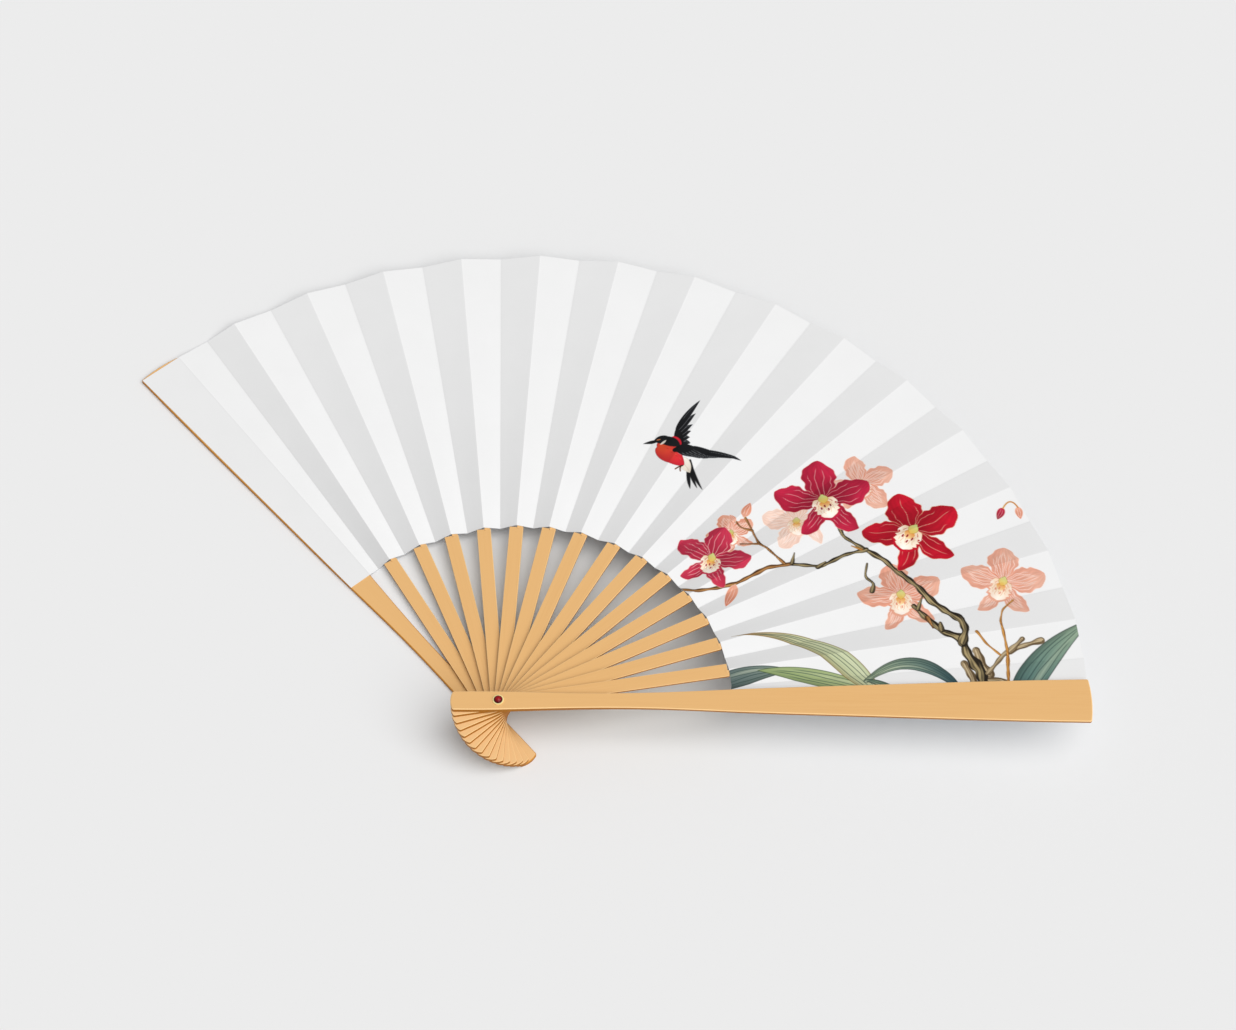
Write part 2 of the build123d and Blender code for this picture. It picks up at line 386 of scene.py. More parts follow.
def curve(*corners, steps=22):
    """A Bezier curve: each corner weighted by its Bernstein polynomial."""
    corners = np.array(corners, float)
    t = np.linspace(0, 1, steps)[:, None]
    order = len(corners) - 1
    weights = [math.comb(order, k) * t**k * (1 - t) ** (order - k) for k in range(order + 1)]
    return sum(w * c for w, c in zip(weights, corners))


def along(spots, line):
    """For each spot, its share of the line's length, and its distance from it, positive on the left."""
    start = line[:-1]
    step = line[1:] - start
    length = np.hypot(*step.T)
    away = spots[:, None] - start
    share = np.clip((away * step).sum(-1) / length**2, 0, 1)
    gap = np.hypot(*np.moveaxis(away - share[..., None] * step, -1, 0))
    best = gap.argmin(1)
    pick = np.arange(len(spots)), best
    walked = np.concatenate([[0], np.cumsum(length)])
    s = (walked[best] + share[pick] * length[best]) / walked[-1]
    turn = step[best, 0] * away[pick][:, 1] - step[best, 1] * away[pick][:, 0]
    return s, gap[pick] * np.sign(turn)


def mottle(spots, size):
    """Soft blotches from 0 to 1: four sine waves in directions that never line up."""
    total = np.zeros(len(spots))
    for k, angle in enumerate((0.3, 1.1, 2.0, 2.7)):
        way = np.array([math.cos(angle), math.sin(angle)])
        total += np.sin(spots @ way * (1.0 + 0.37 * k) / size + 1.7 * k)
    return 0.5 + total / 8


def mix(colour, other, share):
    """Moves rows of colours towards another colour by a share for each row."""
    return colour + (other - colour) * np.asarray(share)[:, None]


print("points in a brush line:", len(curve((0, 0), (10, 0))))

# %% [markdown]
# ### The ribbon
#
# A brush stroke has a soft edge, a darker or paler outline where the paint pools, and hair lines
# where single bristles ran. The ribbon makes all three from the distance across it. Its colour comes
# from a function, called a fill, so that bark, petals and feathers can share this one tool.

# %% Paint a ribbon
def ribbon(sheet, line, half_width, fill, strength=1.0, rim=None, rim_width=0.2, veins=(), vein=None,
           vein_width=THIN_VEIN):
    """Paints one ribbon.

    half_width is a function of the share s, in millimetres, and fill is one of (s, q, spots), where q
    runs from -1 to 1 across. rim is a hex colour for the outline. veins holds (q, first s, last s) of
    lines in the hex colour vein.
    """
    widest = max(half_width(np.linspace(0, 1, 30))) + 1
    low, high = line.min(0) - widest, line.max(0) + widest
    near = np.flatnonzero(((sheet.spots > low) & (sheet.spots < high)).all(1))
    if not len(near):
        return
    s, across = along(sheet.spots[near], line)
    half = np.maximum(half_width(s), 0.01)
    cover = np.clip((half - abs(across)) / EDGE_BLUR + 0.5, 0, 1)
    inside = cover > 0
    if not inside.any():
        return
    near, s, half, across, cover = near[inside], s[inside], half[inside], across[inside], cover[inside]
    q = across / half
    colour = fill(s, q, sheet.spots[near])
    for place, first, last in veins:
        wander = VEIN_WANDER * np.sin(11 * s + 9 * place)
        on = np.clip((vein_width - abs(q - place - wander) * half) / EDGE_BLUR + 0.5, 0, 1)
        on = on * np.clip((s - first) * 12, 0, 1) * np.clip((last - s) * 12, 0, 1)
        colour = mix(colour, srgb(vein), on * 0.9)
    if rim:
        on = np.clip((rim_width - (half - abs(across))) / EDGE_BLUR + 0.5, 0, 1)
        colour = mix(colour, srgb(rim), on * 0.9)
    cover = cover * strength
    sheet.colour[near] = mix(sheet.colour[near], colour, cover)
    sheet.painted[near] = np.maximum(sheet.painted[near], cover)


def blended(first, second, edge=None):
    """A fill from one hex colour at the ribbon's start to another at its end, with soft blotches.

    With edge, the colour also moves towards that hex colour with the square of the way to the sides.
    """

    def fill(s, q, spots):
        colour = mix(np.tile(srgb(first), (len(s), 1)), srgb(second), s)
        if edge:
            colour = mix(colour, srgb(edge), abs(q) ** 2 * 0.7)
        return np.clip(colour * (0.94 + 0.12 * mottle(spots, 1.5))[:, None], 0, 1)

    return fill


def even(wide):
    """A half width that stays the same."""
    return lambda s: wide + 0 * s


def swell(wide, peak=0.5, start=0.0, sharp=0.75):
    """A half width that rises from start, is widest at the share peak, and closes at the end."""
    bend = math.log(0.5) / math.log(peak)
    return lambda s: start * wide * (1 - s) + wide * np.sin(np.pi * np.clip(s, 0, 1) ** bend) ** sharp


print("a 2 mm stroke swells to:", round(float(max(swell(2.0)(np.linspace(0, 1, 31)))), 2), "mm")

# %% [markdown]
# ### Petals and flowers
#
# An orchid has five long parts round its middle, of which the upper three are broad and the lower
# two narrow, and a pale ruffled lip in front. Each petal is a ribbon that leaves the middle and ends
# in a point. Its edge wavers a little and it carries a few pale veins, which fan out because they
# keep their share of the width. A flower needs only its middle, size, turn and colours.

# %% Flowers
CRIMSON = {"heart": "#7E1228", "tip": "#BE2343", "shade": "#9C1832", "rim": "#E2B09E", "vein": "#F0CFC4",
           "veins": 4}
SCARLET = {"heart": "#8C0A1C", "tip": "#C6142C", "shade": "#9E0D20", "rim": "#E6B489", "vein": "#F2DDB4",
           "veins": 3}
ROSE = {"heart": "#921E34", "tip": "#C63651", "shade": "#AA2640", "rim": "#E8BBAE", "vein": "#F4D8CE",
        "veins": 4}
SALMON = {"heart": "#D67E62", "tip": "#E4A68D", "shade": "#DB9076", "rim": "#F7E0D3", "vein": "#FDF3EC",
          "veins": 8}
BLUSH = {"heart": "#EBB89E", "tip": "#F1CDBB", "shade": "#ECC0AC", "rim": "#FAEADF", "vein": "#FDF5F0",
         "veins": 7}
PETALS = (
    (238.0, 0.98, 0.19, 0.9),
    (312.0, 0.98, 0.23, -0.9),
    (92.0, 0.96, 0.37, 0.2),
    (166.0, 1.0, 0.31, 0.7),
    (22.0, 1.0, 0.33, -0.7),
)
LIP_VEINS = ((-0.66, 0.1, 0.7), (-0.36, 0.1, 0.8), (-0.06, 0.1, 0.75), (0.28, 0.1, 0.8), (0.6, 0.1, 0.7))


def direction(degrees):
    """The unit vector that points so many degrees anticlockwise from +X."""
    turn = math.radians(degrees)
    return np.array([math.cos(turn), math.sin(turn)])


def pointed(wide, peak, phase):
    """A petal's half width: s to a power times (1 - s), widest at peak, with two small waves on it."""
    rise = peak / (1 - peak)
    top = peak**rise * (1 - peak)

    def half(s):
        waves = 1 + 0.07 * np.sin(13 * s + phase) + 0.05 * np.sin(29 * s + 2 * phase)
        return wide * waves * np.clip(s**rise * (1 - s) / top, 0, 1) ** 0.7

    return half


def petal_fill(ink):
    """Dark at the heart, clear at the tip, with one side in shade and faint streaks along it."""

    def fill(s, q, spots):
        colour = mix(np.tile(srgb(ink["heart"]), (len(s), 1)), srgb(ink["tip"]), np.clip(s * 1.4, 0, 1))
        colour = mix(colour, srgb(ink["shade"]), np.clip(0.3 + 0.7 * q, 0, 1) * 0.8)
        streaks = 0.5 + 0.5 * np.sin(19 * q + 4 * np.sin(5 * s))
        return np.clip(colour * (0.93 + 0.05 * streaks + 0.07 * mottle(spots, 1.1))[:, None], 0, 1)

    return fill


def ruffled(wide, peak, start):
    """A half width that swells to peak with small even waves on it, like a gathered edge."""
    smooth = swell(wide, peak, start, 0.55)
    return lambda s: smooth(s) * (1 + 0.09 * np.sin(31 * s) + 0.04 * np.sin(57 * s))


def lip(sheet, middle, turn, size, ink, strength):
    """The lip: two pale side lobes, a ruffled cream tongue edged in the petals' ink, and a column."""
    down = direction(turn - 90)
    for side in (-66, 66):
        lobe = middle + direction(turn - 90 + side) * size * 0.52
        ribbon(sheet, curve(middle, (middle + lobe) / 2 + down * size * 0.12, lobe),
               swell(size * 0.21, 0.62, 0.4, 0.6), blended("#EBCFA0", "#F7F0E6", "#E6C2A4"), strength,
               rim="#BE7E52", rim_width=0.12, veins=((-0.3, 0.1, 0.8), (0.3, 0.1, 0.8)), vein="#CF8A55",
               vein_width=0.05)
    end = middle + direction(turn - 84) * size
    ribbon(sheet, curve(middle, middle + down * size * 0.5, end), ruffled(size * 0.44, 0.6, 0.3),
           blended(ink["shade"], ink["tip"]), strength)
    end = middle + direction(turn - 84) * size * 0.9
    ribbon(sheet, curve(middle, middle + down * size * 0.45, end), ruffled(size * 0.38, 0.58, 0.3),
           blended("#F0D6AE", "#FBF7F0", "#F0DCC8"), strength, rim="#D9A37E", rim_width=0.1,
           veins=LIP_VEINS, vein="#C9793F", vein_width=0.05)
    throat = curve(middle + down * size * 0.1, middle + down * size * 0.46)
    ribbon(sheet, throat, swell(size * 0.15, 0.4, 0.5), blended("#D9822F", "#F2D9A6"), strength * 0.9)
    for speck, reach in ((-24, 0.42), (8, 0.5), (30, 0.36), (-6, 0.3)):
        place = middle + direction(turn - 90 + speck) * size * reach
        ribbon(sheet, curve(place, place + down * size * 0.07), even(size * 0.028),
               blended(ink["heart"], ink["heart"]), strength)
    ribbon(sheet, curve(middle - down * size * 0.2, middle + down * size * 0.2),
           swell(size * 0.15, 0.5, 0.5), blended("#C3CB80", "#E3B455"), strength, rim="#8E7030",
           rim_width=0.12)


def flower(sheet, middle, size, turn, ink, strength=1.0, lip_turn=0.0):
    """A flower of a given petal length in millimetres, turned by so many degrees from upright."""
    middle = np.array(middle, float)
    veins = [(q, 0.04, 0.9 - 0.36 * abs(q)) for q in np.linspace(-0.68, 0.62, ink["veins"])]
    for number, (angle, length, wide, bend) in enumerate(PETALS):
        reach = size * length
        way, aside = direction(angle + turn), direction(angle + turn + 90)
        sway = aside * bend * reach * 0.14
        line = curve(middle, middle + way * reach * 0.4 + sway, middle + way * reach * 0.75 + sway,
                     middle + way * reach)
        ribbon(sheet, line, pointed(wide * reach, 0.56, number + turn), petal_fill(ink), strength,
               rim=ink["rim"], rim_width=0.2, veins=veins, vein=ink["vein"], vein_width=0.075)
    lip(sheet, middle, lip_turn, size * 0.55, ink, strength)


def bud(sheet, root, tip, wide, ink):
    """A closed bud: one fat pointed ribbon with two veins."""
    line = curve(root, (np.array(root) + tip) / 2, tip)
    ribbon(sheet, line, swell(wide, 0.42, 0.3), blended(ink["tip"], ink["heart"]), rim=ink["rim"],
           rim_width=0.14, veins=((-0.3, 0.1, 0.9), (0.3, 0.1, 0.9)), vein=ink["vein"], vein_width=0.06)


print("petals on a flower:", len(PETALS), "and lines on its lip:", len(LIP_VEINS))

# %% [markdown]
# ### The branch, the grass and the bird
#
# Bark is a ribbon with a dark outline and a pale streak that wanders along it, as a dry brush leaves
# it. A grass blade is a long ribbon with dark lines along it, pale where it catches the light and
# blue-green where it turns away. The bird is made of ribbons too: a body, a head, feathers that
# spread from each wing's bone, and a forked tail.

# %% Branch, grass and bird
OLD_WOOD = ("#A8966C", "#262018")
YOUNG_WOOD = ("#B9854E", "#4F321A")
CUT_WOOD = ("#C2AE8A", "#5E4C34")
STEM = ("#D39A50", "#8D5A26")


def bark(sheet, corners, thick, thin, wood=OLD_WOOD):
    """A twig through the given corners, from one half width to another, in a (light, dark) wood."""
    corners = np.array(corners, float)
    line = [corners[0]]
    for a, b in zip(corners, corners[1:]):
        steps = max(2, int(np.hypot(*(b - a)) / 1.1))
        line += [a + (b - a) * (k / steps) for k in range(1, steps + 1)]
    line = np.array(line)
    line[1:-1] = (line[:-2] + 2 * line[1:-1] + line[2:]) / 4
    reach = np.hypot(*np.diff(line, axis=0).T).sum()
    light, dark = (srgb(code) for code in wood)

    def half(s):
        bumps = 0.16 * np.sin(s * reach * 1.1) + 0.13 * np.sin(s * reach * 0.47 + 2)
        return (thick + (thin - thick) * s) * (1 + bumps)

    def fill(s, q, spots):
        streak = 0.2 * np.sin(s * reach * 0.8) + 0.35 * np.sin(q * 10 + s * reach * 0.6)
        lit = np.clip(1.1 - 1.5 * abs(q - 0.2) + streak, 0, 1)
        return mix(np.tile(dark, (len(s), 1)), light, lit)

    ribbon(sheet, line, half, fill)


def blade(sheet, corners, wide, root, tip, peak=0.45, edge="#26332E", line="#2C403B", sharp=0.8, late=1.0):
    """A grass blade: a long ribbon with a pale heart, dark lines along it and an inked edge.

    Its colour goes from root to tip with the share s to the power late.
    """
    lines = [(q, 0.0, 0.96 - 0.34 * abs(q)) for q in (-0.62, -0.24, 0.16, 0.54)]

    def fill(s, q, spots):
        colour = mix(np.tile(srgb(root), (len(s), 1)), srgb(tip), s**late)
        colour = mix(colour, srgb("#E4E8C8"), np.clip(0.6 - abs(q + 0.42) * 1.6, 0, 1) * (1 - s))
        colour = mix(colour, srgb(edge), np.clip(q - 0.3, 0, 1) * 0.5)
        hatch = 0.5 + 0.5 * np.sin(26 * q + 3 * np.sin(8 * s))
        return np.clip(colour * (0.93 + 0.07 * hatch)[:, None], 0, 1)

    ribbon(sheet, curve(*corners, steps=34), swell(wide, peak, 0.4, sharp), fill, rim=edge,
           rim_width=0.22, veins=lines, vein=line, vein_width=0.1)


def wing(sheet, shoulder, wrist, tips, wide):
    """Flight feathers from shoulder to wrist, one to each tip, the nearest the shoulder first."""
    shoulder, wrist = np.array(shoulder, float), np.array(wrist, float)
    for k, tip in enumerate(tips):
        root = shoulder + (wrist - shoulder) * (k + 0.5) / len(tips)
        middle = (root + tip) / 2 + (wrist - shoulder) * 0.12
        ribbon(sheet, curve(root, middle, tip), swell(wide, 0.45, 0.6), blended("#141517", "#1E1F22"),
               rim="#C4C7CB", rim_width=0.08, veins=((0.3, 0.3, 0.9),), vein="#8E9195", vein_width=0.04)
    ribbon(sheet, curve(shoulder, (shoulder + wrist) / 2, wrist), swell(wide * 1.15, 0.55, 0.8),
           blended("#101113", "#17181A"))


def bird(sheet):
    """A small bird in flight: wings raised, head to the left, a forked tail trailing to the right."""
    black = blended("#121315", "#1B1C1E")
    wing(sheet, (66.6, 117.2), (65.2, 126.0),
         [(70.4, 118.4), (70.2, 121.0), (70.7, 123.8), (71.4, 127.0), (72.6, 132.4), (74.4, 138.8)], 1.05)
    tail = (((69.2, 107.0), (70.0, 97.4)), ((69.6, 110.4), (72.6, 97.2)), ((70.2, 111.0), (74.6, 96.0)))
    for root, tip in tail:
        middle = (root[0] + 0.25 * (tip[0] - root[0]), (root[1] + tip[1]) / 2)
        ribbon(sheet, curve(root, middle, tip), swell(0.5, 0.5, 0.7), black)
    ribbon(sheet, curve((66.6, 111.0), (68.4, 109.0), (70.0, 105.4)), swell(1.6, 0.4, 0.8),
           blended("#F2ECE0", "#CFC4B4"), rim="#8C8072", rim_width=0.08,
           veins=((0.0, 0.2, 0.9),), vein="#9C8F80", vein_width=0.04)
    ribbon(sheet, curve((59.6, 118.6), (61.6, 113.6), (67.8, 108.6)), swell(2.95, 0.46, 0.7, 0.6),
           blended("#D8502C", "#CF2238", "#B4202C"), rim="#7E1A1E", rim_width=0.12)
    for start in ((61.4, 116.6), (63.0, 114.4), (64.8, 112.6)):
        end = (start[0] + 1.9, start[1] - 1.5)
        ribbon(sheet, curve(start, end), even(0.1), blended("#8F1A22", "#E8704A"), 0.7)
    ribbon(sheet, curve((64.0, 121.6), (65.6, 119.6), (66.6, 116.4)), swell(1.0, 0.5, 0.6),
           blended("#D81E33", "#C81C2E"))
    ribbon(sheet, curve((59.0, 121.0), (63.0, 120.6), (66.4, 116.6)), swell(1.6, 0.5, 0.7), black)
    ribbon(sheet, curve((61.8, 120.7), (59.2, 121.9), (56.6, 120.5)), swell(1.45, 0.5, 0.7, 0.6), black)
    ribbon(sheet, curve((57.4, 120.8), (55.2, 120.4), (52.4, 119.5)), swell(0.42, 0.3, 1.1), black)
    ribbon(sheet, curve((58.8, 118.8), (60.0, 119.4), (61.2, 120.8)), swell(0.5, 0.5),
           blended("#E9E4D8", "#C9C2B4"))
    ribbon(sheet, curve((57.8, 121.3), (58.8, 121.4)), even(0.24), blended("#C9784A", "#C9784A"))
    for claw in ((64.5, 106.7), (66.4, 106.0)):
        ribbon(sheet, curve((67.2, 108.4), (66.0, 108.0), claw), even(0.24), blended("#2B1B12", "#6B3A22"))
    wing(sheet, (64.6, 115.2), (72.0, 116.8),
         [(71.0, 112.4), (74.2, 112.0), (77.2, 111.8), (80.6, 111.4), (84.4, 110.8), (89.6, 109.4)], 1.15)


print("woods, each from light to dark:", OLD_WOOD, YOUNG_WOOD, CUT_WOOD, STEM)

# %% [markdown]
# ### The whole picture
#
# Paint covers what is under it, so the order matters: grass and pale flowers first, then the branch
# over them, and the bright flowers and the bird last. The places are given on the flat plan of the
# open fan, so the strokes run on across the folds.

# %% Compose the picture
def branches(sheet):
    """The woody stem: broken stumps by the guard, the long arm to the left, and its side twigs."""
    bark(sheet, [(171.4, 5.0), (170.4, 10.6), (167.8, 16.6)], 2.0, 1.1, CUT_WOOD)
    bark(sheet, [(176.4, 12.0), (174.4, 16.4), (172.4, 21.8)], 1.9, 1.5, CUT_WOOD)
    bark(sheet, [(184.0, 7.0), (180.4, 9.8), (176.0, 9.4)], 1.2, 1.0, CUT_WOOD)
    bark(sheet, [(174.6, 4.0), (173.4, 14.0), (169.0, 20.6), (167.6, 26.6), (160.6, 29.8), (156.4, 35.6),
                 (151.0, 41.6)], 2.4, 0.9)
    bark(sheet, [(167.6, 25.0), (169.2, 30.6), (167.8, 35.8), (157.4, 43.8), (148.4, 54.8), (141.6, 62.2),
                 (134.0, 66.8)], 1.6, 0.9)
    bark(sheet, [(134.6, 66.6), (126.4, 64.4), (117.8, 59.2), (106.2, 61.8)], 0.9, 0.75)
    bark(sheet, [(106.6, 61.8), (98.2, 60.4), (86.6, 53.4), (79.0, 51.0), (71.2, 49.4), (63.8, 52.0)],
         0.8, 0.55, YOUNG_WOOD)
    bark(sheet, [(133.4, 67.2), (126.8, 73.8), (124.4, 80.4), (125.4, 86.6)], 0.85, 0.5)
    bark(sheet, [(104.4, 62.2), (95.2, 70.8), (92.9, 77.6), (90.0, 83.4)], 0.55, 0.35, YOUNG_WOOD)
    bark(sheet, [(93.0, 77.4), (88.6, 78.4), (86.4, 81.4)], 0.4, 0.3, YOUNG_WOOD)
    bark(sheet, [(95.4, 70.6), (88.4, 71.6)], 0.45, 0.3, YOUNG_WOOD)
    bark(sheet, [(107.2, 62.0), (108.2, 66.6)], 0.75, 0.3)
    bark(sheet, [(116.6, 59.0), (119.4, 61.4)], 0.9, 0.5)
    bark(sheet, [(133.0, 66.6), (129.4, 68.8)], 0.45, 0.3, STEM)
    bark(sheet, [(152.4, 40.4), (154.2, 45.4)], 0.7, 0.4)
    bark(sheet, [(160.4, 30.6), (160.2, 34.2)], 1.0, 0.7)
    bark(sheet, [(155.6, 37.0), (157.4, 31.8)], 0.8, 0.4, YOUNG_WOOD)
    bark(sheet, [(136.0, 48.0), (137.0, 52.0), (133.8, 55.6), (134.8, 60.8)], 0.85, 0.3)
    bark(sheet, [(176.0, 12.4), (182.4, 20.6), (188.8, 23.6), (196.2, 26.0)], 0.8, 1.1, CUT_WOOD)
    bark(sheet, [(184.6, 21.6), (189.4, 26.6)], 1.1, 0.9, CUT_WOOD)
    bark(sheet, [(183.0, 5.0), (183.8, 21.0), (182.0, 34.6), (183.2, 40.0), (187.4, 44.4)], 0.7, 0.3, STEM)
    bark(sheet, [(181.0, 20.2), (176.2, 24.6), (173.0, 29.6)], 0.35, 0.5, STEM)


def grass(sheet):
    """Long blades that spring from behind the front guard."""
    blade(sheet, [(101.5, 13.4), (92.0, 13.0), (84.0, 10.0), (68.0, 3.6)], 3.0, "#7C8C82", "#3E4E54", 0.55)
    blade(sheet, [(140.0, 2.4), (120.0, 9.4), (108.0, 13.4), (93.0, 13.3)], 3.0, "#B4C290", "#8FA26C", 0.45,
          "#46563A")
    blade(sheet, [(136.0, 4.0), (122.0, 22.0), (108.0, 32.5), (84.0, 28.4)], 3.2, "#C4CCA4", "#9C5426", 0.27,
          "#6E5426", "#36463C", 1.6, 5.0)
    blade(sheet, [(132.0, 9.2), (143.0, 20.0), (157.0, 19.4), (166.6, 4.0)], 2.2, "#B2C09C", "#22404E", 0.62)
    blade(sheet, [(132.0, 9.6), (138.0, 8.6), (145.0, 3.0)], 1.1, "#9DAF8C", "#4F6E5E", 0.5)
    blade(sheet, [(186.4, 0.0), (191.0, 12.0), (199.0, 23.4), (215.0, 34.6)], 4.3, "#3F6468", "#9BB094", 0.34,
          "#18241F", "#1F3232", 0.8, 0.8)


def blossoms(sheet):
    """The pale flowers, which the branch passes in front of."""
    flower(sheet, (109.4, 80.6), 13.6, 74, BLUSH, 0.85)
    flower(sheet, (134.4, 97.6), 13.6, -68, SALMON, 0.85)
    flower(sheet, (146.4, 46.0), 16.0, 8, SALMON, 0.92, -4)
    flower(sheet, (184.2, 52.0), 16.0, -8, SALMON, 0.88, -24)
    flower(sheet, (85.0, 76.0), 9.6, 18, SALMON)


def picture(sheet):
    """Paints everything, from back to front."""
    grass(sheet)
    blossoms(sheet)
    branches(sheet)
    bud(sheet, (89.8, 83.2), (92.4, 89.4), 1.6, SALMON)
    bud(sheet, (86.6, 81.0), (84.6, 84.4), 0.9, SALMON)
    bud(sheet, (186.6, 85.2), (184.2, 80.4), 1.3, CRIMSON)
    bud(sheet, (192.2, 85.8), (193.0, 80.8), 1.3, SALMON)
    stalk = curve((186.6, 85.2), (189.4, 90.6), (192.2, 85.8))
    ribbon(sheet, stalk, even(0.28), blended("#D39A50", "#B9722F"))
    bud(sheet, (86.0, 52.4), (82.2, 42.0), 1.8, SALMON)
    flower(sheet, (77.6, 65.2), 14.6, -24, ROSE, 1.0, -14)
    flower(sheet, (119.8, 90.6), 18.6, 3, CRIMSON, 1.0, 12)
    flower(sheet, (152.4, 75.4), 18.8, 12, SCARLET, 1.0, -34)
    bird(sheet)


print("petal inks:", len((CRIMSON, SCARLET, ROSE, SALMON, BLUSH)))

# %% [markdown]
# ## Paper
#
# The leaf is uncoated white paper. It scatters light almost evenly, so it is very rough and hardly
# shines, with a faint tooth. The picture comes from a colour stored on the mesh's points. The back
# carries no picture and has the cooler white of unfilled paper.

# %% Make the paper
PAPER_WHITE = "#EAEAEA"
PAPER_BACK = "#E2E7EE"
TOOTH_SIZE = 0.45 * MM
PULP_SIZE = 14 * MM


def paper(name, printed):
    """White paper. With printed, its colour is read from the mesh's attribute of that name."""
    material, tree, output = new_material(name)
    place = add(tree, "TexCoord").outputs["Object"]
    tooth = add(tree, "TexNoise", {"Vector": place, "Scale": 1 / TOOTH_SIZE, "Detail": 3.0})
    cloud = add(tree, "TexNoise", {"Vector": place, "Scale": 1 / PULP_SIZE, "Detail": 2.0})
    if printed:
        base = add(tree, "Attribute", attribute_name="print").outputs["Color"]
    else:
        base = add(tree, "RGB").outputs[0]
        base.default_value = paint(PAPER_BACK)
    shade = add(
        tree, "MapRange",
        {"Value": cloud.outputs["Fac"], "From Min": 0.3, "From Max": 0.7, "To Min": 0.985, "To Max": 1.0},
    )
    mixed = add(tree, "VectorMath", {0: base, "Scale": shade.outputs[0]}, operation="SCALE")
    relief = add(tree, "Bump", {"Height": tooth.outputs["Fac"], "Strength": 0.25, "Distance": 0.02 * MM})
    surface = add(
        tree, "BsdfPrincipled",
        {"Base Color": mixed.outputs[0], "Roughness": 0.92, "Normal": relief.outputs[0],
         "IOR": 1.45, "Specular IOR Level": 0.2},
    )
    tree.links.new(surface.outputs[0], output.inputs["Surface"])
    return material


printed_paper = paper("printed paper", True)
plain_paper = paper("plain paper", False)
print("papers:", printed_paper.name, "and", plain_paper.name)

# %% [markdown]
# ## The pleated leaf
#
# Between two folds the paper is one straight panel. A light panel falls from a stick's mountain fold
# to the valley, and a grey one climbs to the next mountain. When the fan closes, the light panel
# turns with its stick. The grey panel would have to swing from the valley, which moves with the stick
# before it, to the mountain of its own stick; here it is only built in place, with its placement
# baked into its mesh.
#
# Both folds of a grey panel end where they should, but the paper between them bows a little when the
# fan is closed, and cuts into the panel below it.

# %% Panel meshes
PAPER_THICKNESS = 0.2 * MM
FINE_STEP = 0.24 * MM
COARSE_STEP = 4.0 * MM
COARSE_COLUMNS = 4
END_SHRINK = 0.9 * MM
PAPER_SIDE_INNER = 4.58 * MM
PAPER_SIDE_OUTER = 8.95 * MM
REAR_EDGE_INNER = 4.4 * MM
REAR_EDGE_OUTER = 8.5 * MM
STRIP_ANGLE = 0.85
STRIP_WIDTH = 2.85 * MM
PROBE_ROWS = 130
PROBE_COLUMNS = 14
PROBE_MARGIN = 0.02
LEAST_PAINT = 0.02


def radial_fold(angle, height, inner=None, outer=None):
    """The two ends of a fold that points at the rivet, as a 2 by 3 array."""
    way = direction(angle)
    ends = (inner or inner_radius, outer or outer_radius)
    return np.array([[way[0] * r, way[1] * r, height] for r in ends])


def side_fold(angle, near_side, far_side, height):
    """The two ends of a line beside a guard, given by its sideways distances at both rims."""
    way, aside = direction(angle), direction(angle + 90)
    ends = []
    for r, side in ((inner_radius - END_SHRINK, near_side), (outer_radius - END_SHRINK, far_side)):
        ends.append([*(way * r + aside * side), height])
    return np.array(ends)


def panel_points(left, right, down, across):
    """A panel's points: straight lines between two folds, at shares down the folds and across."""
    a = left[0] + down[:, None] * (left[1] - left[0])
    b = right[0] + down[:, None] * (right[1] - right[0])
    return a[:, None] + across[None, :, None] * (b - a)[:, None]


def painted_rows(left, right):
    """Which stretch of a panel carries paint, as shares down its folds, or None if it has none.

    It paints the picture on a coarse grid, and adds a margin at both ends.
    """
    down, across = np.linspace(0, 1, PROBE_ROWS), np.linspace(0, 1, PROBE_COLUMNS)
    spots = panel_points(left, right, down, across)
    sheet = Sheet(spots[..., :2].reshape(-1, 2) / MM, (1, 1, 1))
    picture(sheet)
    painted = sheet.painted.reshape(PROBE_ROWS, PROBE_COLUMNS) > LEAST_PAINT
    rows = np.flatnonzero(painted.any(1))
    if not len(rows):
        return None
    return max(0.0, down[rows[0]] - PROBE_MARGIN), min(1.0, down[rows[-1]] + PROBE_MARGIN)


def grid_mesh(name, points):
    """A mesh of quads from a rows by columns by 3 array of points."""
    rows, columns = points.shape[:2]
    index = np.arange(rows * columns).reshape(rows, columns)
    quads = np.stack([index[:-1, :-1], index[:-1, 1:], index[1:, 1:], index[1:, :-1]], -1).reshape(-1, 4)
    mesh = bpy.data.meshes.new(name)
    mesh.vertices.add(rows * columns)
    mesh.vertices.foreach_set("co", points.reshape(-1))
    mesh.loops.add(quads.size)
    mesh.loops.foreach_set("vertex_index", quads.reshape(-1))
    mesh.polygons.add(len(quads))
    mesh.polygons.foreach_set("loop_start", np.arange(0, quads.size, 4))
    mesh.polygons.foreach_set("use_smooth", np.zeros(len(quads), bool))
    mesh.update(calc_edges=True)
    mesh.validate()
    return mesh


print("the leaf is", round((outer_radius - inner_radius) / MM, 1), "mm deep")

# %% [markdown]
# Light and shade are painted into the paper a little, so that the pleats show alike all round the leaf
# wherever the lamp stands. A panel that slopes gets the cosine of its slope plus a share of its sine,
# and that share falls off as the panel turns away from the lamp. The tone is the wanted light over the
# real one. Along each fold the paper also carries a hair of painted highlight on the mountains and
# painted shade in the valleys.

# %% Tone and build the panels
WANTED_SIDE_LIGHT = 0.4
LAMP_SIDE_LIGHT = (1 - SKY_LIGHT / LEVEL_LIGHT) * math.tan(LAMP_FROM_ZENITH)
# Painted highlight along the mountain folds and painted shade along the valley folds.
FOLD_PAINT_WIDTH = 0.3 * MM
RIDGE_HIGHLIGHT = 0.03
VALLEY_SHADE = 0.05
ROW_GAP = 0.01
NEAR_LEFT_FOLD = (0, 0.02, 0.06)
NEAR_RIGHT_FOLD = (0.94, 0.98, 1)


